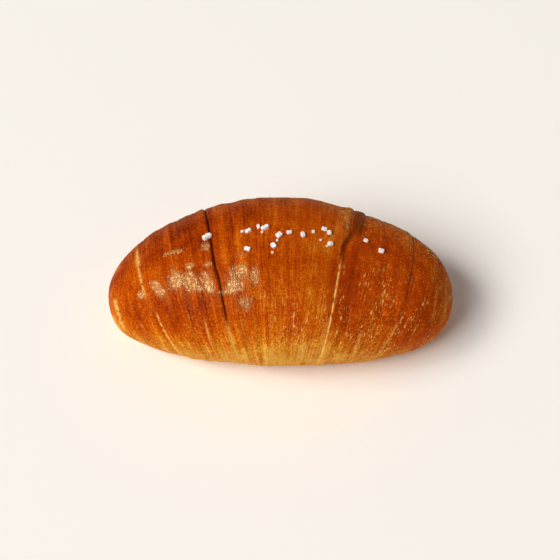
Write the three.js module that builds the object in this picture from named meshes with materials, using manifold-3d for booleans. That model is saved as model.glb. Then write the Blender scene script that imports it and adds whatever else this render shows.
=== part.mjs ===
// Bread roll: one triangle of dough rolled up and baked, with coarse salt grains along its ridge.
// Millimetres. +X runs along the roll, -Y is its front and +Z is up. The origin lies on the table,
// below the middle of the roll. Angles run round the roll in degrees: 0 is the front, 90 the top,
// 180 the back and 270 the underside.

import * as THREE from 'three';
import { mergeVertices } from 'three/addons/utils/BufferGeometryUtils.js';
import Module from 'manifold-3d';

// Size of the whole roll
const length = 130;
const width = 63.6;
const height = 51.3;
const waistHeight = 26.8; // height of the widest line, at the middle
const tipHeight = 13.9; // height of the two tips above the table
const waistDrop = 2.4; // how late the widest line sinks towards the tips
const baseDepth = 1.34; // depth of the round lower half against waistHeight, before the base is cut flat
const endPower = { left: 2.08, right: 2.21 }; // superellipse power of each end's outline
const shoulder = { left: -1.4, right: -4 }; // height added between the middle and each tip
const tipSwing = -0.65; // how far the right tip swings back from the middle line, and the left one forward

// The spiral seam: its distance from the middle, for a number of turns of the dough from its outer end
const turnCount = 3;
const seamStart = 9.8;
const seamPower = 1.38;
const seamSway = 4.4;
const seamSwayTurn = 0.011;
const tipMargin = 2.4; // a seam ends this far before the tip
const sideStretch = { left: 1.049, right: 1.002 };
const kink = { left: { size: 0.35, at: 67 }, right: { size: 1, at: 97 } };
const kinkWidth = 4;

// Relief along the seams, listed from the middle outwards: each size low on the front and on top
const seamDepth = {
  left: [[0.25, 1.2], [0.2, 0.5], [0.3, 0.4]],
  right: [[0.3, 0.6], [0.2, 0.4], [0.2, 0.4]],
};
const lipRadius = [1.4, 1.8, 1.6];
// How far the outer wrap lies lower
const seamStep = {
  left: [[0.1, -0.2], [0.2, 0.3], [0.3, 0.3]],
  right: [[-0.3, 1], [0.3, 0.5], [0.2, 0.4]],
};
const stepReach = 6;
// The angles between which each side's seams grow from their low size to their size on top
const frontToTop = { left: { from: 5, to: 65 }, right: { from: 62, to: 98 } };
const backFade = { from: 200, to: 240 };
// Over the back, the right wrap's step lies further out than its seam
const ledge = { size: 1, out: 3.8, softness: 0.7, from: 100, to: 112 };

// Long soft lumps of the dough: height, spread along X, beat round the roll, and where each wave begins
const lumps = [
  { size: 0.25, spread: 9.5, beat: 2, alongShift: 1.6, roundShift: 0 },
  { size: 0.16, spread: 5.2, beat: 3, alongShift: 2.1, roundShift: 1.2 },
  { size: 0.12, spread: 3.1, beat: 4, alongShift: 4.4, roundShift: 2.6 },
];

// Fuller places by the two tips: place along X, angle round the roll, reach both ways and height
const bulges = [
  { at: -62, angle: -10, reach: 7, reachRound: 28, size: 5 },
  { at: 61, angle: 120, reach: 7, reachRound: 28, size: 3 },
];

// Mesh steps: columns round the roll, and rings across each band, from the middle outwards
const columns = 52;
const bandRings = [20, 12, 8, 6];
const undersideFrom = 240; // from here the rings swing back to where they began, under the roll
const undersideTo = 300;

// Salt grains: place along X, angle round the roll, and the grain's length, width and turn
const salt = [
  [-26.3, 96, 3.7, 2.0, 30],
  [-13.6, 96, 1.2, 1.1, 0],
  [-11.4, 96, 2.5, 1.5, 30],
  [-7.8, 99, 1.2, 2.0, 10],
  [-6.5, 94, 0.9, 0.8, 0],
  [-5.4, 97.5, 3.1, 1.7, 25],
  [-0.4, 91, 2.4, 2.0, 40],
  [-1.1, 87, 0.9, 0.9, 0],
  [-2.4, 83, 2.2, 1.8, -60],
  [-2.8, 78, 0.9, 0.8, 0],
  [3.2, 93.5, 2.0, 1.4, 15],
  [8.0, 93, 1.5, 2.3, 10],
  [11.8, 97, 1.2, 1.3, 0],
  [14.4, 91, 0.8, 0.8, 0],
  [15.8, 101, 2.1, 1.5, 0],
  [17.6, 98.5, 1.5, 2.0, 0],
  [17.8, 89, 2.1, 1.8, 20],
  [16.6, 87, 0.9, 0.8, 0],
  [-11.6, 81.5, 2.4, 1.6, -20],
  [31, 100, 1.8, 1.4, -25],
  [36.5, 93, 2.2, 1.7, -10],
];
const grainHeight = 0.72; // share of the grain's mean width
const grainSink = 0.3; // share of its height that sits in the crust
const grainRoughness = 0.18;

const radians = THREE.MathUtils.degToRad;
const { smoothstep, lerp, euclideanModulo } = THREE.MathUtils;
const halfLength = length / 2;

function sideOf(x) {
  return x < 0 ? 'left' : 'right';
}

// Angle as -90 to 270, so that it grows all the way from the underside round and back to it
function wholeAngle(angle) {
  return ((((angle + 90) % 360) + 360) % 360) - 90;
}

// Distance from the middle of the seam that is the given number of turns from the dough's outer end
function spiralPlace(turn) {
  const spread = (halfLength - seamStart) * Math.max(1 - turn / turnCount, 0) ** seamPower;
  const sway = seamSway * Math.sin((Math.PI * turn) / turnCount) ** 2;
  return halfLength - spread - sway * Math.cos(2 * Math.PI * (turn - seamSwayTurn));
}

// Distance from the middle of seam 0, 1 or 2 on one side of the roll
function seamPlace(side, seam, angle) {
  const turn = seam + (angle + 90) / 360;
  const bend = seam === 0 ? kink[side].size * Math.tanh((angle - kink[side].at) / kinkWidth) : 0;
  return Math.min(spiralPlace(turn) * sideStretch[side] + bend, halfLength - tipMargin);
}

// The same, for the rings of the mesh, which close on themselves under the roll
function ringSeamPlace(side, seam, angle) {
  const whole = wholeAngle(angle);
  const under = whole < undersideTo - 360 ? whole + 360 : whole;
  if (under <= undersideFrom) return seamPlace(side, seam, under);
  const share = smoothstep(under, undersideFrom, undersideTo);
  return lerp(seamPlace(side, seam, undersideFrom), seamPlace(side, seam, undersideTo - 360), share);
}

// A seam's size at an angle, from its sizes low on the front and on top; it fades out under the roll
function seamSize([low, high], side, angle) {
  const size = lerp(low, high, smoothstep(angle, frontToTop[side].from, frontToTop[side].to));
  return size * (1 - smoothstep(angle, backFade.from, backFade.to));
}

// Height of the seams' relief: each wrap rounds down into the seam, and the outer wrap lies lower
function seamRelief(x, angle) {
  const side = sideOf(x);
  const whole = wholeAngle(angle);
  let relief = 0;
  for (let seam = 0; seam < turnCount; seam++) {
    const off = Math.abs(x) - seamPlace(side, seam, whole);
    const near = Math.max(1 - Math.abs(off) / lipRadius[seam], 0);
    relief -= seamSize(seamDepth[side][seam], side, whole) * (1 - Math.sqrt(1 - near * near));
    if (off > 0) relief -= seamSize(seamStep[side][seam], side, whole) * Math.exp(-off / stepReach);
    if (off > 0 && seam === 0 && side === 'right') relief += ledgeRelief(off, whole);
  }
  return relief;
}

function ledgeRelief(off, angle) {
  const high = smoothstep(angle, ledge.from, ledge.to) * (1 - smoothstep(angle, backFade.from, backFade.to));
  return ledge.size * high * (1 - smoothstep(off, ledge.out - ledge.softness, ledge.out + ledge.softness));
}

function lumpRelief(x, angle) {
  return lumps.reduce((sum, lump) => {
    const alongWave = Math.sin(x / lump.spread + lump.alongShift);
    const roundWave = Math.cos(radians(angle) * lump.beat + lump.roundShift + x / length);
    return sum + lump.size * alongWave * roundWave;
  }, 0);
}

function bulgeRelief(x, angle) {
  return bulges.reduce((sum, bulge) => {
    const along = (x - bulge.at) / bulge.reach;
    const round = (euclideanModulo(angle - bulge.angle + 180, 360) - 180) / bulge.reachRound;
    return sum + bulge.size * Math.exp(-along * along - round * round);
  }, 0);
}

// Radius share of the section at x: 1 at the middle and 0 at the tip
function sectionShare(x) {
  const power = endPower[sideOf(x)];
  return Math.max(1 - Math.abs(x / halfLength) ** power, 0) ** (1 / power);
}

// A point of the crust at a place along the roll and an angle round it
function crustPoint(x, angle) {
  const q = x / halfLength;
  const share = sectionShare(x);
  const centre = tipHeight + (waistHeight - tipHeight) * share ** waistDrop;
  const crown = shoulder[sideOf(x)] * Math.sin(Math.PI * Math.abs(q)) ** 2;
  const upper = (height - waistHeight + crown) * share;
  const lower = waistHeight * baseDepth * share;
  const sine = Math.sin(radians(angle));
  const across = (-Math.cos(radians(angle)) * share * width) / 2;
  const rise = sine * (sine > 0 ? upper : lower);
  const radius = Math.hypot(across, rise);
  const relief = (seamRelief(x, angle) + lumpRelief(x, angle) + bulgeRelief(x, angle)) * share;
  const scale = radius > 0 ? 1 + relief / radius : 1;
  return new THREE.Vector3(x, across * scale + tipSwing * q, centre + rise * scale);
}

// Ring places as a band on one side and a share of the way across it, closer together by the seams
function ringList() {
  const rings = [];
  const across = (side, band, from, to, steps) => {
    for (let step = 0; step < steps; step++) {
      const even = lerp(from, to, step / steps);
      rings.push({ side, band, share: (1 - Math.cos(Math.PI * even)) / 2 });
    }
  };
  for (let band = bandRings.length - 1; band > 0; band--) across('right', band, 1, 0, bandRings[band]);
  across('middle', 0, 0, 1, bandRings[0]);
  for (let band = 1; band < bandRings.length; band++) across('left', band, 0, 1, bandRings[band]);
  rings.push({ side: 'left', band: bandRings.length - 1, share: 1 });
  return rings;
}

// Place along X of a ring at an angle
function ringPlace(ring, angle) {
  if (ring.side === 'middle') {
    return lerp(ringSeamPlace('right', 0, angle), -ringSeamPlace('left', 0, angle), ring.share);
  }
  const inner = ringSeamPlace(ring.side, ring.band - 1, angle);
  const last = ring.band === bandRings.length - 1;
  const outer = last ? halfLength : ringSeamPlace(ring.side, ring.band, angle);
  return lerp(inner, outer, ring.share) * (ring.side === 'left' ? -1 : 1);
}

// The dough's round body, drawn from a sphere whose poles become the two tips
function makeBody() {
  const rings = ringList();
  const geometry = new THREE.SphereGeometry(1, columns, rings.length - 1);
  const { position, uv } = geometry.attributes;
  for (let i = 0; i < position.count; i++) {
    const angle = 180 - 360 * uv.getX(i);
    const ring = rings[Math.round((1 - uv.getY(i)) * (rings.length - 1))];
    const point = crustPoint(ringPlace(ring, angle), angle);
    position.setXYZ(i, point.x, point.y, point.z);
  }
  return geometry;
}

// One rough crystal of salt, sunk a little into the crust
function makeGrain([x, angle, grainLength, grainWidth, turn], index) {
  const geometry = new THREE.IcosahedronGeometry(0.5, 0);
  const size = new THREE.Vector3(grainLength, grainWidth, ((grainLength + grainWidth) / 2) * grainHeight);
  const { position } = geometry.attributes;
  const corner = new THREE.Vector3();
  for (let i = 0; i < position.count; i++) {
    corner.fromBufferAttribute(position, i);
    const wave = Math.sin(corner.x * 7 + index * 2.3) + Math.sin(corner.y * 9 + corner.z * 8 + index);
    corner.multiplyScalar(1 + grainRoughness * wave * 0.5).multiply(size);
    position.setXYZ(i, corner.x, corner.y, corner.z);
  }
  const step = 0.5;
  const point = crustPoint(x, angle);
  const alongX = crustPoint(x + step, angle).sub(point);
  const around = crustPoint(x, angle + step).sub(point);
  const outward = alongX.cross(around).normalize();
  const tilt = new THREE.Quaternion().setFromUnitVectors(new THREE.Vector3(0, 0, 1), outward);
  geometry.rotateZ(radians(turn));
  geometry.applyQuaternion(tilt);
  const lift = size.z * (0.5 - grainSink);
  geometry.translate(...point.addScaledVector(outward, lift).toArray());
  return geometry;
}

const wasm = await Module();
wasm.setup();

function toSolid(geometry) {
  const bare = geometry.index ? geometry.clone() : geometry;
  bare.deleteAttribute('normal');
  bare.deleteAttribute('uv');
  const merged = mergeVertices(bare, 1e-4);
  return new wasm.Manifold(new wasm.Mesh({
    numProp: 3,
    vertProperties: new Float32Array(merged.attributes.position.array),
    triVerts: new Uint32Array(merged.index.array),
  }));
}

function toGeometry(solid) {
  const mesh = solid.getMesh();
  const geometry = new THREE.BufferGeometry();
  geometry.setAttribute('position', new THREE.BufferAttribute(new Float32Array(mesh.vertProperties), 3));
  geometry.setIndex(new THREE.BufferAttribute(new Uint32Array(mesh.triVerts), 1));
  geometry.computeVertexNormals();
  return geometry;
}

// The slab that cuts the roll's base flat on the table
function makeTableCut() {
  const slab = new THREE.BoxGeometry(length * 2, width * 2, height);
  slab.translate(0, 0, -height / 2);
  return slab;
}

// Moves a geometry along X and Y so that its box stands over the origin
function centre(geometry) {
  geometry.computeBoundingBox();
  const middle = geometry.boundingBox.getCenter(new THREE.Vector3());
  geometry.translate(-middle.x, -middle.y, 0);
  return geometry;
}

function makeRoll() {
  const body = toSolid(makeBody()).subtract(toSolid(makeTableCut()));
  const salted = salt.map(makeGrain).reduce((solid, grain) => solid.add(toSolid(grain)), body);
  const crust = new THREE.MeshStandardMaterial({ color: 0xb4641a, roughness: 0.42, metalness: 0 });
  const mesh = new THREE.Mesh(centre(toGeometry(salted)), crust);
  mesh.name = 'roll';
  return mesh;
}

const group = new THREE.Group();
group.add(makeRoll());

export default group;
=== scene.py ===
import math

import bpy
import numpy as np
from mathutils import Matrix, Vector, noise


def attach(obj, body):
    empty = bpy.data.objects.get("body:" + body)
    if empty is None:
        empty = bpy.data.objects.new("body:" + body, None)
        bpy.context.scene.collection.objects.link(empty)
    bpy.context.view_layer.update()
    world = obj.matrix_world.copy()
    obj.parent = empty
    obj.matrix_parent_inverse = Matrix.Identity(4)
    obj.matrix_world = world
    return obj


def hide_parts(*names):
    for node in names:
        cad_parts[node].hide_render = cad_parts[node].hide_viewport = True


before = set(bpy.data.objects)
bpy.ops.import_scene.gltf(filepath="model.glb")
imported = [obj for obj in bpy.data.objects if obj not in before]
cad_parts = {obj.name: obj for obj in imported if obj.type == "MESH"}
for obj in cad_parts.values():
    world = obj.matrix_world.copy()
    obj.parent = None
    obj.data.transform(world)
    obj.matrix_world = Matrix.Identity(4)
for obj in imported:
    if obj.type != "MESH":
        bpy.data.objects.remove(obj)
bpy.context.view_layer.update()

# A rolled bread roll with coarse salt: one crust piece and one piece of salt grains, both fitted over
# the CAD roll. Shape values are millimetres, as in the part's source, and the scene is in metres.
mm = 0.001

# the roll's size, its spiral seams and their relief; lists run from the middle outwards
roll = {
    "length": 130,
    "width": 63.6,
    "height": 51.3,
    "waistHeight": 26.8,  # height of the widest line, at the middle
    "tipHeight": 13.9,
    "waistDrop": 2.4,  # more brings the widest line down sooner on its way to the tips
    "baseDepth": 1.34,  # the lower half would reach this share of the waist's height down
    "endPower": {"left": 2.08, "right": 2.21},  # 2 is an ellipse, and more is blunter
    "shoulder": {"left": -1.4, "right": -4.0},  # what the top gains halfway to each tip
    "tipSwing": -0.65,  # the right tip lies this far back, and the left one as far forward
    "turnCount": 3,  # turns of the dough between the middle and a tip
    "seamStart": 9.8,  # distance of a seam's beginning from the middle
    "seamPower": 1.38,  # more lets the seams crowd towards the tips
    "seamSway": 4.4,  # how far a seam sways to and fro with each turn
    "seamSwayTurn": 0.011,
    "tipMargin": 2.4,  # how near a seam comes to the tip
    "sideStretch": {"left": 1.049, "right": 1.002},
    "kink": {"left": (0.35, 67), "right": (1.0, 97)},  # size, and the angle where it lies
    "kinkWidth": 4,  # degrees
    # depth of each seam low on the front and on top, and how far the outer wrap lies lower there
    "seamDepth": {
        "left": ((0.25, 1.2), (0.2, 0.5), (0.3, 0.4)),
        "right": ((0.3, 0.6), (0.2, 0.4), (0.2, 0.4)),
    },
    "seamStep": {
        "left": ((0.1, -0.2), (0.2, 0.3), (0.3, 0.3)),
        "right": ((-0.3, 1.0), (0.3, 0.5), (0.2, 0.4)),
    },
    "lipRadius": (1.4, 1.8, 1.6),  # how far from each seam the wraps begin to round down
    "stepReach": 6,  # how far from the seam the outer wrap comes up again
    # angles between which each side's seams grow from their low size to their size on top
    "frontToTop": {"left": (5, 65), "right": (62, 98)},
    "backFade": (200, 240),
    # over the back, the right wrap's step lies further out than its seam
    "ledge": {"size": 1.0, "out": 3.8, "softness": 0.7, "span": (100, 112)},
    "under": (240, 300),  # where the rings swing back to where they began
    # soft lumps of the dough: height, spread along X, beat round the roll, and where each wave begins
    "lumps": ((0.25, 9.5, 2, 1.6, 0.0), (0.16, 5.2, 3, 2.1, 1.2), (0.12, 3.1, 4, 4.4, 2.6)),
    # fuller places by the two tips: place along X, angle round the roll, reach both ways and height
    "bulges": ((-62, -10, 7, 28, 5.0), (61, 120, 7, 28, 3.0)),
}
halfLength = roll["length"] / 2


def smooth(value, low, high):
    share = np.clip((value - low) / (high - low), 0, 1)
    return share * share * (3 - 2 * share)


def spiralPlace(turn):
    # distance of the seam from the middle, for a number of turns from the dough's outer end
    left = np.maximum(1 - turn / roll["turnCount"], 0)
    spread = (halfLength - roll["seamStart"]) * left ** roll["seamPower"]
    sway = roll["seamSway"] * np.sin(np.pi * turn / roll["turnCount"]) ** 2
    return halfLength - spread - sway * np.cos(2 * np.pi * (turn - roll["seamSwayTurn"]))


def wholeAngle(angle):
    return (angle + 90) % 360 - 90


def seamPlace(side, seam, angle):
    bend = 0
    if seam == 0:
        size, at = roll["kink"][side]
        bend = size * np.tanh((angle - at) / roll["kinkWidth"])
    place = spiralPlace(seam + (angle + 90) / 360) * roll["sideStretch"][side] + bend
    return np.minimum(place, halfLength - roll["tipMargin"])


def ringSeamPlace(side, seam, angle):
    # the same for the rings of the mesh, which close on themselves under the roll
    underFrom, underTo = roll["under"]
    whole = wholeAngle(angle)
    under = np.where(whole < underTo - 360, whole + 360, whole)
    onWay = smooth(under, underFrom, underTo)
    swung = seamPlace(side, seam, underFrom) * (1 - onWay) + seamPlace(side, seam, underTo - 360) * onWay
    return np.where(under <= underFrom, seamPlace(side, seam, under), swung)


def seamSize(sizes, side, angle):
    # a seam's size at an angle, from its sizes low on the front and on top; it fades out under the roll
    whole = wholeAngle(angle)
    low, high = sizes
    size = low + (high - low) * smooth(whole, *roll["frontToTop"][side])
    return size * (1 - smooth(whole, *roll["backFade"]))


def seamOff(side, seam, x, angle):
    return np.abs(x) - seamPlace(side, seam, wholeAngle(angle))


def seamRelief(x, angle):
    # each wrap rounds down into the seam, and the outer wrap lies lower there
    sides = {}
    for side in ("left", "right"):
        relief = np.zeros_like(x)
        for seam in range(roll["turnCount"]):
            off = seamOff(side, seam, x, angle)
            near = np.maximum(1 - np.abs(off) / roll["lipRadius"][seam], 0)
            relief -= seamSize(roll["seamDepth"][side][seam], side, angle) * (1 - np.sqrt(1 - near * near))
            drop = seamSize(roll["seamStep"][side][seam], side, angle)
            relief -= np.where(off > 0, drop * np.exp(-np.maximum(off, 0) / roll["stepReach"]), 0)
            if seam == 0 and side == "right":
                relief += np.where(off > 0, ledgeRelief(off, angle), 0)
        sides[side] = relief
    return np.where(x < 0, sides["left"], sides["right"])


def ledgeRelief(off, angle):
    ledge = roll["ledge"]
    whole = wholeAngle(angle)
    high = smooth(whole, *ledge["span"]) * (1 - smooth(whole, *roll["backFade"]))
    out, softness = ledge["out"], ledge["softness"]
    return ledge["size"] * high * (1 - smooth(off, out - softness, out + softness))


def lumpRelief(x, angle):
    relief = np.zeros_like(x)
    for size, spread, beat, alongShift, roundShift in roll["lumps"]:
        roundWave = np.cos(np.radians(angle) * beat + roundShift + x / roll["length"])
        relief += size * np.sin(x / spread + alongShift) * roundWave
    return relief


def bulgeRelief(x, angle):
    relief = np.zeros_like(x)
    for place, turned, reach, reachRound, size in roll["bulges"]:
        away = (angle - turned + 180) % 360 - 180
        relief += size * np.exp(-((x - place) / reach) ** 2 - (away / reachRound) ** 2)
    return relief


def sectionShare(x):
    power = np.where(x < 0, roll["endPower"]["left"], roll["endPower"]["right"])
    return np.maximum(1 - np.abs(x / halfLength) ** power, 0) ** (1 / power)


def crustPoints(x, angle, extra=0):
    # points of the crust, in millimetres, at places along the roll and angles round it
    q = x / halfLength
    share = sectionShare(x)
    centre = roll["tipHeight"] + (roll["waistHeight"] - roll["tipHeight"]) * share ** roll["waistDrop"]
    shoulder = np.where(x < 0, roll["shoulder"]["left"], roll["shoulder"]["right"])
    crown = shoulder * np.sin(np.pi * np.abs(q)) ** 2
    upper = (roll["height"] - roll["waistHeight"] + crown) * share
    lower = roll["waistHeight"] * roll["baseDepth"] * share
    sine = np.sin(np.radians(angle))
    across = -np.cos(np.radians(angle)) * share * roll["width"] / 2
    rise = sine * np.where(sine > 0, upper, lower)
    radius = np.maximum(np.hypot(across, rise), 1e-6)
    relief = (seamRelief(x, angle) + lumpRelief(x, angle) + bulgeRelief(x, angle) + extra) * share
    scale = np.where(share > 1e-4, 1 + relief / radius, 1)
    return np.stack([x, across * scale + roll["tipSwing"] * q, centre + rise * scale], -1)


# the crust's mesh: rings follow the seams and lie closer together there
crustPiece = {
    "columns": 212,
    "bandRings": (110, 74, 50, 45),  # across the middle band, then each band out to the tip
    "crowding": 0.6,  # 0 spaces the rings evenly, 1 packs them hard against the seams
    "baseSoftness": 1.4,  # how gently the crust turns in at the table
    "ripple": 0.14,  # height of the long troughs that run round the roll
    "rippleSpacing": 3.6,
    "rippleLength": 34,
    "pleat": 0.17,  # height of the pleats on the left half
    "pleatSpacing": 6.6,
    "pleatSpan": (-56, -46, -10, -2),  # where they begin, are full, begin to fade and end
    "pleatWander": (0.03, 0.05, 0.05),  # how quickly they stray sideways, along X and across
    "blister": 0.2,  # small bumps of the baked skin
    "blisterSpacing": 3.1,
    "rightLumps": 1.7,  # how much lumpier the right end is
    "rightLumpsFrom": (24, 40),  # places along X between which that grows
    # the lumpy edge of the right seam: how much lumpier, how far inside the seam it lies, how wide it
    # is, and the angles between which it grows
    "lip": {"lumps": 2.6, "inside": 1.8, "width": 1.6, "from": (92, 102)},
    "grain": 0.1,
    "grainSpacing": 1.2,
    "noiseShift": {"pleat": 5.1, "blister": 7.3, "grain": 3.1},  # keeps these patterns unlike
    "drumRadius": 28,  # radius of the drum that the patterns are wrapped on
    # how dark the crust is baked, 0 pale to 1 dark: how much more each place is, the angles up the side
    # between which that grows, and the distances from the middle between which it grows
    "browning": {
        "base": 0.05,
        "sides": {"more": 0.46, "up": (-25, 32)},
        "top": {"more": 0.1, "up": (30, 75)},
        "leftTop": {"more": 0.22, "up": (55, 90), "along": (5, 30)},
        "rightTop": {"more": -0.2, "up": (70, 95), "along": (0, 18)},
        "besideSeam": {"more": 0.25, "up": (5, 30), "weaker": 0.6, "weakerUp": (60, 85), "reach": 7},
        "rightSeamEdge": (-0.5, 0.8),  # distances off the right seam where its outer side begins
        "tips": {"more": -0.08, "along": (50, 63)},
        "leftFoot": {"more": -0.08, "along": (30, 62), "fadesUp": (10, 50)},
        "least": 0.06,
    },
    # baked patches: place, angle, reach along X and round the roll, how much darker and how much redder
    "patches": (
        (-40, 132, 22, 26, 0.26, 0),
        (-8, 128, 20, 20, 0.15, 0),
        (14, 102, 13, 26, -0.24, 0.5),
        (-36, 42, 20, 16, 0.2, 0),
        (-48, 14, 12, 24, 0.2, 0),
        (46, 70, 22, 50, -0.1, 0.5),
        (44, 6, 18, 18, 0.14, 0.2),
        (-56, 84, 5, 12, -0.12, -0.1),
        (-38, 80, 14, 12, -0.2, 0),
        (8, 30, 12, 24, -0.12, 0.1),
        (-18, 92, 8, 20, -0.14, 0),
        (38, 118, 16, 24, -0.1, 0.1),
        (56, -8, 16, 22, 0.3, 0.45),
        (-60, -15, 10, 30, 0.2, 0.1),
        (26, 58, 5, 30, 0.2, 0.15),
        (38, 97, 6, 10, 0.26, 0.1),
        (49, 118, 8, 16, -0.2, 0.4),
        (-30, 128, 16, 12, -0.08, 0),
        (24, 128, 14, 12, -0.1, 0.2),
        (48, 58, 8, 24, 0.16, 0.1),
        (58, 84, 6, 24, -0.12, 0),
        (4, 0, 16, 16, -0.12, 0),
        (48, -34, 10, 10, 0.3, 0.2),
        (-50, 98, 8, 20, -0.12, 0),
        (-58, 80, 6, 24, 0.04, 0),
        (48, 34, 8, 16, 0.12, 0.1),
        (12, 124, 8, 12, -0.06, 0.1),
    ),
    # where the egg wash lies thick and shines, and where its colour paints a highlight: place, angle, reach
    # both ways, lean in mm a degree, strength
    "wash": (
        (-44.4, 60, 2.2, 9, 0.2, 1.2),
        (-37.4, 65, 2.8, 10, 0.1, 1.0),
        (-31.6, 61.5, 2.4, 10, 0.0, 0.95),
        (-25.6, 59.5, 2.5, 9, 0.12, 0.85),
        (-34.6, 65, 3.0, 4, 0, 0.8),
        (-29.4, 56, 3.0, 3, 0, 0.7),
        (-18.6, 52, 3.2, 2.4, -0.6, 0.9),
        (-38.5, 90, 4.0, 2.6, 0.5, 1.0),
        (-32.3, 75, 1.8, 2.4, 0, 1.2),
        (-26.0, 74, 1.8, 2.4, 0, 1.1),
        (-26.7, 88, 1.7, 4, 0, 1.1),
        (-50.6, 55, 1.3, 4.5, 0, 1.4),
        (-33.0, 61, 8.0, 8, 0, 0.5),
        (-14.0, 60, 5.0, 9, 0, 0.45),
        (-15.8, 56, 3.8, 6, -0.1, 0.9),
        (-14.4, 67, 3.4, 4.5, 0, 1.2),
        (-9.0, 62, 1.6, 7.5, 0, 1.1),
        (-12.0, 43, 3.0, 7, 0, 0.6),
        (-14.4, 79, 2.4, 4, 0, 0.4),
    ),
    "coarse": (18, 40),  # places along X between which the right end grows more mottled
    "flecks": {
        "strength": 0.8,  # of the pale flecks on the right half
        "left": 0.2,  # the same on the left
        "from": (-22, 6),  # places along X between which it grows
        "middleTo": (22, 66),  # angles between which they end
        "rightTo": (60, 92),  # the same on the right end
        "rightFrom": (18, 24),  # places along X between which the right end begins
    },
    # marks on the seams: side, seam, half width, shift outwards, first and last angle, strength
    "marks": {
        "fade": 14,
        # painted shade: dark lines in the seam cracks, and the shade beside the right wrap's step over the
        # back
        "shadedCracks": (
            ("left", 0, 0.4, 0.0, 22, 118, 1.0),
            ("left", 0, 0.8, 0.3, 52, 92, 0.7),
            ("left", 0, 0.4, 0.0, 98, 215, 0.55),
            ("right", 0, 0.7, 0.8, 70, 215, 0.8),
            ("right", 0, 2.0, 2.3, 96, 215, 0.75),
            ("left", 1, 0.3, 0.0, 120, 215, 0.6),
            ("right", 1, 0.3, 0.0, 110, 215, 0.6),
            ("right", 1, 1.2, 0.2, 40, 124, 0.24),
            ("right", 0, 0.8, 5.4, 20, 104, 0.22),
        ),
        "pale": (
            ("left", 0, 0.45, 0.2, -40, 34, 0.7),
            ("right", 0, 0.42, 0.1, -40, 84, 0.85),
            ("right", 0, 1.1, -0.5, -40, 36, 0.4),
            ("right", 0, 1.5, -1.8, 96, 190, 0.22),
            ("left", 1, 0.4, -0.5, -40, 40, 0.95),
            ("left", 1, 0.5, 1.7, 46, 128, 0.75),
            ("left", 1, 0.9, 1.6, 84, 114, 0.9),
            ("left", 0, 0.35, 7.9, -6, 36, 0.6),
            ("right", 1, 0.5, -0.5, -30, 34, 0.6),
            ("left", 2, 1.0, -1.4, -8, 54, 0.9),
            ("right", 2, 0.5, -3.4, 16, 80, 0.28),
            ("right", 2, 0.5, 1.6, 0, 66, 0.25),
            ("right", 0, 0.6, 12.2, -20, 26, 0.5),
        ),
    },
}


def ringPlaces(angle, ring):
    # place along X of each ring at each angle, with ring counted from the left tip to the right tip
    bands = crustPiece["bandRings"]
    place = np.empty_like(angle)
    first = 0
    order = [("left", band) for band in range(len(bands) - 1, 0, -1)] + [("middle", 0)]
    order += [("right", band) for band in range(1, len(bands))]
    for side, band in order:
        count = bands[band]
        here = (ring >= first) & (ring <= first + count)
        even = (ring[here] - first) / count
        crowded = (1 - np.cos(np.pi * even)) / 2
        share = even + (crowded - even) * crustPiece["crowding"]
        turned = angle[here]
        if side == "middle":
            start = -ringSeamPlace("left", 0, turned)
            end = ringSeamPlace("right", 0, turned)
        else:
            inner = ringSeamPlace(side, band - 1, turned)
            outer = halfLength if band == len(bands) - 1 else ringSeamPlace(side, band, turned)
            start, end = (inner, outer) if side == "right" else (-outer, -inner)
        place[here] = start + (end - start) * share
        first += count
    return place


def noiseAt(places):
    return np.array([noise.noise(Vector(place)) for place in places])


def drumPlaces(along, angle):
    # the crust wrapped on a drum, in millimetres, for patterns that run round the roll
    turned = np.radians(angle)
    drum = crustPiece["drumRadius"]
    return np.stack([along, -np.cos(turned) * drum, np.sin(turned) * drum], -1)


def skinRelief(x, angle, drum, smoothPoints):
    piece = crustPiece
    lip, shift = piece["lip"], piece["noiseShift"]
    onLip = (x > 0) * np.exp(-((seamOff("right", 0, x, angle) + lip["inside"]) / lip["width"]) ** 2)
    onLip = onLip * smooth(wholeAngle(angle), *lip["from"])
    lumpy = 1 + piece["rightLumps"] * smooth(x, *piece["rightLumpsFrom"]) + lip["lumps"] * onLip
    stretch = np.array([1 / piece["rippleSpacing"], 1 / piece["rippleLength"], 1 / piece["rippleLength"]])
    relief = piece["ripple"] * noiseAt(drum * stretch)
    wander = noiseAt(drum * np.array(piece["pleatWander"]) + shift["pleat"])
    begin, full, fading, end = piece["pleatSpan"]
    span = smooth(drum[:, 0], begin, full) * (1 - smooth(drum[:, 0], fading, end))
    relief += piece["pleat"] * span * np.cos(2 * np.pi * drum[:, 0] / piece["pleatSpacing"] + wander)
    relief += piece["blister"] * lumpy * noiseAt(smoothPoints / piece["blisterSpacing"] + shift["blister"])
    relief += piece["grain"] * noiseAt(smoothPoints / piece["grainSpacing"] + shift["grain"])
    return relief


def deselectAll():
    if bpy.context.object and bpy.context.object.mode != "OBJECT":
        bpy.ops.object.mode_set(mode="OBJECT")
    bpy.ops.object.select_all(action="DESELECT")


def addAttribute(mesh, name, values):
    kind = "FLOAT_VECTOR" if values.ndim == 2 else "FLOAT"
    attribute = mesh.attributes.new(name, kind, "POINT")
    field = "vector" if values.ndim == 2 else "value"
    attribute.data.foreach_set(field, values.astype(np.float32).ravel())


def upAngle(angle):
    # how far up a side lies, in degrees, alike on the front and the back
    whole = wholeAngle(angle)
    return np.where(whole > 90, 180 - whole, whole)


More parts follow.
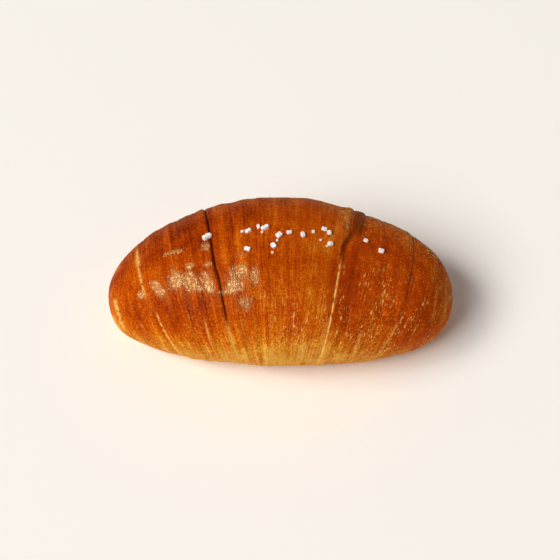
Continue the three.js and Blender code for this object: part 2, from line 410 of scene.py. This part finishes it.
def browningAt(x, angle):
    # how far the crust is baked: pale by the table, amber on the sides, brown on top and to the left
    places = crustPiece["browning"]
    leftTop, rightTop, leftFoot = places["leftTop"], places["rightTop"], places["leftFoot"]
    seamSide, tips = places["besideSeam"], places["tips"]
    up = upAngle(angle)
    rightOff = seamOff("right", 0, x, angle)
    outside = (x > 0) * smooth(rightOff, *places["rightSeamEdge"])
    baked = places["base"]
    for part in (places["sides"], places["top"]):
        baked = baked + part["more"] * smooth(up, *part["up"])
    baked += leftTop["more"] * smooth(up, *leftTop["up"]) * smooth(-x, *leftTop["along"])
    baked += rightTop["more"] * smooth(up, *rightTop["up"]) * smooth(x, *rightTop["along"]) * (1 - outside)
    beside = smooth(up, *seamSide["up"]) * (1 - seamSide["weaker"] * smooth(up, *seamSide["weakerUp"]))
    baked += seamSide["more"] * beside * outside * np.exp(-np.maximum(rightOff, 0) / seamSide["reach"])
    baked += tips["more"] * smooth(np.abs(x), *tips["along"])
    baked += leftFoot["more"] * smooth(-x, *leftFoot["along"]) * (1 - smooth(up, *leftFoot["fadesUp"]))
    whole = wholeAngle(angle)
    reddened = np.zeros_like(x)
    for place, turned, reach, reachRound, darker, redder in crustPiece["patches"]:
        patch = np.exp(-((x - place) / reach) ** 2 - ((whole - turned) / reachRound) ** 2)
        baked += darker * patch
        reddened += redder * patch
    return np.maximum(baked, places["least"]), np.clip(reddened, 0, 1)


def washAt(x, angle):
    # patches of thick egg wash, flat in the middle and soft at the rim
    whole = wholeAngle(angle)
    wash = np.zeros_like(x)
    for place, turned, reach, reachRound, lean, strength in crustPiece["wash"]:
        along = (x - place - lean * (turned - whole)) / reach
        wash = np.maximum(wash, strength * np.exp(-(along ** 2 + ((whole - turned) / reachRound) ** 2) ** 2))
    return wash


def seamMarks(kind, x, angle):
    # where the seams get painted shade in their cracks, or are pale stretched dough
    fade = crustPiece["marks"]["fade"]
    whole = wholeAngle(angle)
    marked = np.zeros_like(x)
    for side, seam, width, shift, start, end, strength in crustPiece["marks"][kind]:
        there = (x < 0) == (side == "left")
        line = np.exp(-((seamOff(side, seam, x, angle) - shift) / width) ** 2)
        span = smooth(whole, start, start + fade) * (1 - smooth(whole, end - fade, end))
        marked = np.maximum(marked, there * line * span * strength)
    return marked


def makeCrust():
    piece = crustPiece
    rings = piece["bandRings"][0] + 2 * sum(piece["bandRings"][1:])
    deselectAll()
    bpy.ops.mesh.primitive_uv_sphere_add(segments=piece["columns"], ring_count=rings, radius=1)
    crust = bpy.context.object
    crust.name = crust.data.name = "crust"
    mesh = crust.data
    co = np.empty(len(mesh.vertices) * 3)
    mesh.vertices.foreach_get("co", co)
    co = co.reshape(-1, 3)
    ring = np.rint((np.arcsin(np.clip(co[:, 2], -1, 1)) / np.pi + 0.5) * rings)
    angle = np.degrees(np.arctan2(co[:, 1], co[:, 0]))
    x = ringPlaces(angle, ring)
    along = ringPlaces(np.full_like(angle, 90.0), ring)
    drum = drumPlaces(along, angle)
    plain = crustPoints(x, angle)
    points = crustPoints(x, angle, skinRelief(x, angle, drum, plain))
    soft = piece["baseSoftness"]
    points[:, 2] = (points[:, 2] + np.sqrt(points[:, 2] ** 2 + soft ** 2)) / 2
    points[:, 2] -= points[:, 2].min()
    middle = (points.max(0) + points.min(0)) / 2
    points[:, :2] -= middle[:2]
    mesh.vertices.foreach_set("co", (points * mm).ravel())
    mesh.update()

    flecks = piece["flecks"]
    up = upAngle(angle)
    flecked = flecks["left"] + (flecks["strength"] - flecks["left"]) * smooth(x, *flecks["from"])
    onRight = smooth(x, *flecks["rightFrom"])
    flecked *= 1 - smooth(up, *flecks["middleTo"]) * (1 - onRight) - smooth(up, *flecks["rightTo"]) * onRight
    addAttribute(mesh, "drum", drum * mm)
    browning, reddened = browningAt(x, angle)
    addAttribute(mesh, "browning", browning)
    addAttribute(mesh, "reddened", reddened)
    addAttribute(mesh, "crevice", seamMarks("shadedCracks", x, angle))
    addAttribute(mesh, "flecked", flecked)
    addAttribute(mesh, "washed", washAt(x, angle))
    addAttribute(mesh, "coarse", smooth(x, *piece["coarse"]))
    addAttribute(mesh, "paleSeam", seamMarks("pale", x, angle))

    bpy.ops.object.mode_set(mode="EDIT")
    bpy.ops.mesh.select_all(action="SELECT")
    bpy.ops.mesh.normals_make_consistent(inside=False)
    bpy.ops.object.mode_set(mode="OBJECT")
    bpy.ops.object.shade_smooth()
    print("crust:", len(mesh.polygons), "faces")
    return crust, middle


# salt grains: place along X, angle round the roll, length, width and turn, as in the part's source
saltPiece = {
    "grains": (
        (-26.3, 96, 3.7, 2.0, 30),
        (-13.6, 96, 1.2, 1.1, 0),
        (-11.4, 96, 2.5, 1.5, 30),
        (-7.8, 99, 1.2, 2.0, 10),
        (-6.5, 94, 0.9, 0.8, 0),
        (-5.4, 97.5, 3.1, 1.7, 25),
        (-0.4, 91, 2.4, 2.0, 40),
        (-1.1, 87, 0.9, 0.9, 0),
        (-2.4, 83, 2.2, 1.8, -60),
        (-2.8, 78, 0.9, 0.8, 0),
        (3.2, 93.5, 2.0, 1.4, 15),
        (8.0, 93, 1.5, 2.3, 10),
        (11.8, 97, 1.2, 1.3, 0),
        (14.4, 91, 0.8, 0.8, 0),
        (15.8, 101, 2.1, 1.5, 0),
        (17.6, 98.5, 1.5, 2.0, 0),
        (17.8, 89, 2.1, 1.8, 20),
        (16.6, 87, 0.9, 0.8, 0),
        (-11.6, 81.5, 2.4, 1.6, -20),
        (31, 100, 1.8, 1.4, -25),
        (36.5, 93, 2.2, 1.7, -10),
    ),
    "height": 0.72,  # share of the mean of a grain's length and width
    "sink": 0.3,  # share of its full height that a grain sits in the crust
    "fill": 0.86,  # a blocky crystal looks as large as the sizes above at this share of them
    "chamfer": 0.26,  # of a unit crystal
    "chamferRound": 0.6,
    "stray": 0.09,  # how far its corners are knocked out of place
    "evenStray": 0.6,
    "outwardStray": 0.4,
    "sharpAngle": 24,  # degrees between faces from which an edge looks sharp
    "kinds": 4,
}


def makeCrystal(seed):
    # a unit crystal: a cube with chamfered corners, knocked out of square
    deselectAll()
    bpy.ops.mesh.primitive_cube_add(size=1)
    crystal = bpy.context.object
    bpy.ops.object.mode_set(mode="EDIT")
    bpy.ops.mesh.select_all(action="SELECT")
    bpy.ops.mesh.bevel(offset=saltPiece["chamfer"], segments=2, profile=saltPiece["chamferRound"])
    bpy.ops.mesh.subdivide(number_cuts=1)
    even, outward = saltPiece["evenStray"], saltPiece["outwardStray"]
    bpy.ops.transform.vertex_random(offset=saltPiece["stray"], uniform=even, normal=outward, seed=seed)
    bpy.ops.mesh.quads_convert_to_tris()
    bpy.ops.mesh.normals_make_consistent(inside=False)
    bpy.ops.object.mode_set(mode="OBJECT")
    return crystal


def surfaceFrame(x, angle):
    # a point of the crust with its outward direction and the direction along the roll
    step = 0.4  # millimetres along, and degrees round
    at = crustPoints(np.array([x, x + step, x]), np.array([angle, angle, angle + step]))
    alongX = Vector(at[1] - at[0]).normalized()
    roundIt = Vector(at[2] - at[0]).normalized()
    outward = alongX.cross(roundIt).normalized()
    return Vector(at[0]), outward, alongX


def makeSalt(middle):
    crystals = [makeCrystal(seed + 1) for seed in range(saltPiece["kinds"])]
    grains = []
    for index, (x, angle, length, width, turn) in enumerate(saltPiece["grains"]):
        thick = (length + width) / 2 * saltPiece["height"]
        point, outward, alongX = surfaceFrame(x, angle)
        sideways = outward.cross(alongX)
        facing = Matrix((alongX, sideways, outward)).transposed().to_4x4()
        place = point + outward * thick * (0.5 - saltPiece["sink"])
        place -= Vector((middle[0], middle[1], 0))
        grain = crystals[index % len(crystals)].copy()
        grain.data = grain.data.copy()
        bpy.context.scene.collection.objects.link(grain)
        size = Vector((length, width, thick)) * saltPiece["fill"]
        spin = Matrix.Rotation(math.radians(turn), 4, "Z") @ Matrix.Diagonal((*size, 1))
        grain.data.transform(Matrix.Scale(mm, 4) @ Matrix.Translation(place) @ facing @ spin)
        grains.append(grain)
    deselectAll()
    for crystal in crystals:
        crystal.select_set(True)
    bpy.ops.object.delete()
    for grain in grains:
        grain.select_set(True)
    bpy.context.view_layer.objects.active = grains[0]
    bpy.ops.object.join()
    salt = bpy.context.object
    salt.name = salt.data.name = "salt_grains"
    bpy.ops.object.shade_smooth_by_angle(angle=math.radians(saltPiece["sharpAngle"]))
    print("salt:", len(grains), "grains,", len(salt.data.polygons), "faces")
    return salt


class Wire:
    # a shader socket that takes part in Python arithmetic, each operation adding a Math node
    def __init__(self, finish, socket):
        self.finish = finish
        self.socket = socket

    def math(self, operation, *values):
        return self.finish.node("Math", {"operation": operation}, dict(enumerate(values)))

    def __add__(self, other):
        return self.math("ADD", self, other)

    def __radd__(self, other):
        return self.math("ADD", other, self)

    def __sub__(self, other):
        return self.math("SUBTRACT", self, other)

    def __rsub__(self, other):
        return self.math("SUBTRACT", other, self)

    def __mul__(self, other):
        return self.math("MULTIPLY", self, other)

    def __rmul__(self, other):
        return self.math("MULTIPLY", other, self)

    def __abs__(self):
        return self.math("ABSOLUTE", self)

    def over(self, low, high):
        # 0 below low, 1 above high and smooth between them
        values = {"Value": self, "From Min": low, "From Max": high}
        return self.finish.node("MapRange", {"interpolation_type": "SMOOTHSTEP"}, values)


class Finish:
    # one material and its nodes
    def __init__(self, name):
        self.material = bpy.data.materials.new(name)
        self.material.use_nodes = True
        self.tree = self.material.node_tree
        self.shader = self.tree.nodes["Principled BSDF"]

    def node(self, kind, settings=None, inputs=None, output=0):
        made = self.tree.nodes.new("ShaderNode" + kind)
        for name, value in (settings or {}).items():
            if name == "stops":
                self.setStops(made.color_ramp, value)
            else:
                setattr(made, name, value)
        for name, value in (inputs or {}).items():
            self.feed(made.inputs[name], value)
        return Wire(self, made.outputs[output])

    def feed(self, socket, value):
        if isinstance(value, Wire):
            self.tree.links.new(value.socket, socket)
        else:
            socket.default_value = value

    def setStops(self, ramp, stops):
        while len(ramp.elements) < len(stops):
            ramp.elements.new(0.5)
        for element, (place, colour) in zip(ramp.elements, stops):
            element.position = place
            element.color = colour

    def blend(self, share, other):
        # mixes a share of another shader over the material's own
        both = self.node("MixShader", {}, {0: share, 1: Wire(self, self.shader.outputs[0]), 2: other})
        self.feed(self.tree.nodes["Material Output"].inputs["Surface"], both)

    def mix(self, factor, first, second):
        # the node's inputs 6 and 7 and its output 2 are colours
        settings = {"data_type": "RGBA", "blend_type": "MIX"}
        return self.node("Mix", settings, {0: factor, 6: first, 7: second}, output=2)

    def noise(self, places, scale, detail=2.0, roughness=0.5, distortion=0.0):
        values = {"Vector": places, "Scale": scale, "Detail": detail, "Roughness": roughness}
        values["Distortion"] = distortion
        return self.node("TexNoise", {}, values)

    def attribute(self, name, output="Fac"):
        return self.node("Attribute", {"attribute_name": name}, output=output)

    def stretched(self, places, spacing):
        # places measured in the given spacings, in millimetres along X, Y and Z
        scale = [1 / (step * mm) for step in spacing]
        return self.node("VectorMath", {"operation": "MULTIPLY"}, {0: places, 1: scale})


def paint(red, green, blue):
    # a colour as seen on screen, 0 to 255, as the linear one that a shader takes
    def linear(value):
        share = value / 255
        return share / 12.92 if share <= 0.04045 else ((share + 0.055) / 1.055) ** 2.4

    return (linear(red), linear(green), linear(blue), 1)


crustLook = {
    "pale": paint(230, 168, 66),
    "golden": paint(208, 121, 20),
    "amber": paint(188, 82, 4),
    "brown": paint(160, 56, 3),
    "dark": paint(110, 30, 3),
    "fleck": paint(246, 200, 108),
    "paleSeam": paint(240, 184, 88),
    # painted shade for the seam cracks
    "seamShadeColour": paint(60, 16, 6),
    "russet": paint(196, 66, 4),
    # the colours from barely baked to darkest
    "stops": ((0.0, "pale"), (0.2, "golden"), (0.45, "amber"), (0.7, "brown"), (1.0, "dark")),
    "gloss": (0.9, 0.8, 0.4, 1),  # the egg wash's tint of what it mirrors
    "glossShare": (0.003, 0.22),  # where the wash is thin, and where it is thick
    "glossRoughness": 0.19,
    "rimShare": 0.08,  # how much more it mirrors where the crust turns away
    "glazeWithPaintedHighlight": paint(238, 180, 108),  # colour of the thick wash, lightened to a cream as a painted highlight
    "roughness": 0.6,
    "bump": 0.8,
    "bumpDepth": 0.4,  # millimetres
    # patterns wrapped on the drum: millimetres along the roll and round it, detail, roughness, distortion
    "onDrum": {
        "streak": (0.7, 16, 3, 0.6, 0.0),
        "broad": (3.2, 30, 2, 0.5, 0.0),
        "clusters": (4, 16, 1, 0.5, 0.0),
        "flecks": (0.55, 2.8, 2, 0.55, 0.5),
        "points": (0.5, 0.8, 1, 0.5, 0.0),
        "ragged": (0.8, 2.0, 3, 0.6, 0.0),
        "strokes": (0.55, 2.8, 2, 0.55, 1.4),
        "cells": (1.4, 1.5, 2, 0.5, 0.6),
    },
    # patterns in space: scale, detail, roughness and distortion
    "inSpace": {"mottle": (160, 3, 0.6, 0.0), "speckle": (1500, 2, 0.6, 0.0), "wrinkle": (640, 2, 0.5, 0.6)},
    # how far each pattern changes the browning
    "tone": {"streak": 0.75, "broad": 0.65, "mottle": 0.6, "speckle": 1.1, "coarseSpeckle": 0.9},
    # the same for the thick wash, how far its painted highlight colour covers the crust's colour, and how
    # far speckle changes its gloss
    "wash": {"thick": 0.9, "strokes": 2.6, "mottle": 1.4, "cells": 0.75, "colour": 0.6, "roughness": 0.2},
    # how far each pattern raises or lowers the skin, as a share of the depth above
    "relief": {"streak": 0.4, "speckle": 0.3, "mottle": 0.6, "wrinkle": 0.8, "wash": 0.9},
    # between which values a pattern goes from none to all
    "limits": {
        "clusters": (0.42, 0.6),
        "flecks": (0.59, 0.68),
        "points": (0.68, 0.75),
        "ragged": (0.32, 0.54),
        "cells": (0.01, 0.09),
        "wash": (0.22, 0.8),
        "washEdge": (0.0, 0.2),
        "rim": (0.45, 1.0),
    },
    "pointStrength": 0.8,
    "strayFlecks": 0.08,  # strength of the flecks outside their clusters
    "seamShadeStrength": 0.85,
}


def crustFinish():
    look, limits = crustLook, crustLook["limits"]
    tone, coat, relief = look["tone"], look["wash"], look["relief"]
    finish = Finish("baked_crust")
    here = finish.node("TexCoord", output="Object")
    drum = finish.attribute("drum", "Vector")

    def onDrum(name):
        along, around, *others = look["onDrum"][name]
        return finish.noise(finish.stretched(drum, (along, around, around)), 1, *others)

    def inSpace(name):
        return finish.noise(here, *look["inSpace"][name])

    # a pattern's values lie around 0.5, so that is taken off before it adds to anything
    streak, broad = onDrum("streak"), onDrum("broad")
    mottle, speckle = inSpace("mottle"), inSpace("speckle")
    grainy = finish.attribute("coarse") * tone["coarseSpeckle"] + tone["speckle"]
    baked = finish.attribute("browning") + (streak - 0.5) * tone["streak"] + (broad - 0.5) * tone["broad"]
    baked = baked + (mottle - 0.5) * tone["mottle"] + (speckle - 0.5) * grainy
    stops = [(place, look[name]) for place, name in look["stops"]]
    colour = finish.node("ValToRGB", {"stops": stops}, {"Fac": baked})
    colour = finish.mix(finish.attribute("reddened"), colour, look["russet"])

    clusters = onDrum("clusters").over(*limits["clusters"])
    flecks = onDrum("flecks").over(*limits["flecks"])
    flecks = flecks + onDrum("points").over(*limits["points"]) * look["pointStrength"]
    stray = look["strayFlecks"]
    flecks = flecks * (clusters * (1 - stray) + stray) * finish.attribute("flecked")
    colour = finish.mix(flecks, colour, look["fleck"])
    ragged = onDrum("ragged").over(*limits["ragged"])
    colour = finish.mix(finish.attribute("paleSeam") * ragged, colour, look["paleSeam"])
    # painted shade darkens the seam cracks
    colour = finish.mix(finish.attribute("crevice") * look["seamShadeStrength"], colour, look["seamShadeColour"])

    thick = finish.attribute("washed")
    washed = thick * coat["thick"] + (onDrum("strokes") - 0.5) * coat["strokes"]
    washed = washed + (mottle - 0.5) * coat["mottle"]
    washed = washed.over(*limits["wash"]) * thick.over(*limits["washEdge"])
    cells = abs(onDrum("cells") - 0.5).over(*limits["cells"])
    washed = washed * (1.0 - cells * coat["cells"])
    # the thick wash lightens the colour as a painted highlight, on top of its real gloss below
    colour = finish.mix(washed * coat["colour"], colour, look["glazeWithPaintedHighlight"])

    height = (streak - 0.5) * relief["streak"] + (speckle - 0.5) * relief["speckle"]
    height = height + (mottle - 0.5) * relief["mottle"] - abs(inSpace("wrinkle") - 0.5) * relief["wrinkle"]
    height = height + washed * relief["wash"]
    depth = {"Strength": look["bump"], "Distance": look["bumpDepth"] * mm, "Height": height}
    bump = finish.node("Bump", {}, depth)
    shader = finish.shader.inputs
    finish.feed(shader["Base Color"], colour)
    finish.feed(shader["Roughness"], look["roughness"])
    finish.feed(shader["Normal"], bump)
    finish.feed(shader["Specular IOR Level"], 0.0)  # the wash does all the mirroring
    values = {"Base Color": look["gloss"], "Metallic": 1.0, "Normal": bump}
    values["Roughness"] = look["glossRoughness"] + (speckle - 0.5) * coat["roughness"]
    wash = finish.node("BsdfPrincipled", {}, values)
    least, most = look["glossShare"]
    rim = finish.node("LayerWeight", {}, {"Blend": 0.5, "Normal": bump}, output="Facing")
    rim = rim.over(*limits["rim"]) * look["rimShare"]
    finish.blend(washed * (most - least) + rim + least, wash)
    return finish.material


saltLook = {
    "white": paint(253, 251, 249),
    "shade": paint(242, 234, 228),
    "cloudScale": 900,
    "cloudLimits": (0.35, 0.7),
    "roughness": 0.4,
    "roughnessChange": 0.3,
}


def saltFinish():
    finish = Finish("salt_crystal")
    here = finish.node("TexCoord", output="Object")
    cloud = finish.noise(here, saltLook["cloudScale"])
    shader = finish.shader.inputs
    whiter = cloud.over(*saltLook["cloudLimits"])
    finish.feed(shader["Base Color"], finish.mix(whiter, saltLook["shade"], saltLook["white"]))
    finish.feed(shader["Roughness"], saltLook["roughness"] + (cloud - 0.5) * saltLook["roughnessChange"])
    return finish.material


# the table, the lights and the camera
studio = {
    "tableSize": 6.0,
    "tableColour": paint(251, 249, 243),
    "tableRoughness": 0.9,
    "tableGloss": 0.1,
    "surround": (0.93, 0.9, 0.85, 1),  # what the camera sees past the table
    "mirrored": 0.6,  # how much of it shows in reflections
    "ambient": (1.0, 0.88, 0.87, 1),
    "ambientStrength": 0.22,
    # name: turn from the camera's side (to the left), height angle, distance, size and watts
    "lights": {
        "window": (84, 46, 10.0, 3.0, 300.0),
        "sky": (56, 44, 10.0, 5.6, 840.0),
    },
    "lightColour": (1.0, 0.993, 0.965),
    "elevation": 55,
    "distance": 491.0,
    "lens": 85,
    "frameShift": (-0.0005, -0.0036),
    "clipStart": 0.01,
}


def makeTable():
    deselectAll()
    bpy.ops.mesh.primitive_plane_add(size=studio["tableSize"])
    table = bpy.context.object
    table.name = "table"
    finish = Finish("table_top")
    finish.feed(finish.shader.inputs["Base Color"], studio["tableColour"])
    finish.feed(finish.shader.inputs["Roughness"], studio["tableRoughness"])
    finish.feed(finish.shader.inputs["Specular IOR Level"], studio["tableGloss"])
    table.data.materials.append(finish.material)


def makeLights():
    target = Vector((0, 0, roll["height"] / 2 * mm))
    for name, (turn, rise, distance, size, watts) in studio["lights"].items():
        turned, raised = math.radians(turn), math.radians(rise)
        level = math.cos(raised)
        away = Vector((-math.sin(turned) * level, -math.cos(turned) * level, math.sin(raised)))
        bpy.ops.object.light_add(type="AREA", location=target + away * distance)
        light = bpy.context.object
        light.name = name
        light.data.shape = "SQUARE"
        light.data.size = size
        light.data.energy = watts
        light.data.color = studio["lightColour"]
        light.rotation_euler = away.to_track_quat("Z", "Y").to_euler()


def makeWorld():
    world = bpy.data.worlds.new("studio")
    world.use_nodes = True
    bpy.context.scene.world = world
    nodes, links = world.node_tree.nodes, world.node_tree.links
    ambient = nodes["Background"]
    ambient.inputs["Color"].default_value = studio["ambient"]
    ambient.inputs["Strength"].default_value = studio["ambientStrength"]
    surround = nodes.new("ShaderNodeBackground")
    surround.inputs["Color"].default_value = studio["surround"]
    path = nodes.new("ShaderNodeLightPath")
    mirrored = nodes.new("ShaderNodeMath")
    mirrored.operation = "MULTIPLY_ADD"
    mirrored.inputs[1].default_value = studio["mirrored"]
    pick = nodes.new("ShaderNodeMixShader")
    links.new(path.outputs["Is Glossy Ray"], mirrored.inputs[0])
    links.new(path.outputs["Is Camera Ray"], mirrored.inputs[2])
    links.new(mirrored.outputs[0], pick.inputs[0])
    links.new(ambient.outputs[0], pick.inputs[1])
    links.new(surround.outputs[0], pick.inputs[2])
    links.new(pick.outputs[0], nodes["World Output"].inputs["Surface"])


def makeCamera():
    raised = math.radians(studio["elevation"])
    away = Vector((0, -math.cos(raised), math.sin(raised)))
    target = Vector((0, 0, roll["height"] / 2 * mm))
    bpy.ops.object.camera_add(location=target + away * studio["distance"] * mm)
    camera = bpy.context.object
    camera.name = "camera"
    camera.rotation_euler = (math.pi / 2 - raised, 0, 0)
    camera.data.lens = studio["lens"]
    camera.data.shift_x, camera.data.shift_y = studio["frameShift"]
    camera.data.clip_start = studio["clipStart"]
    bpy.context.scene.camera = camera
    bpy.context.scene.view_settings.view_transform = "Standard"


makeCamera()
makeWorld()
makeLights()
makeTable()
print("studio: table, lights and camera are in place")

crust, middle = makeCrust()
crust.data.materials.append(crustFinish())
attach(crust, "root")
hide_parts("roll")

salt = makeSalt(middle)
salt.data.materials.append(saltFinish())
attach(salt, "root")
print("materials: crust and salt are dressed")
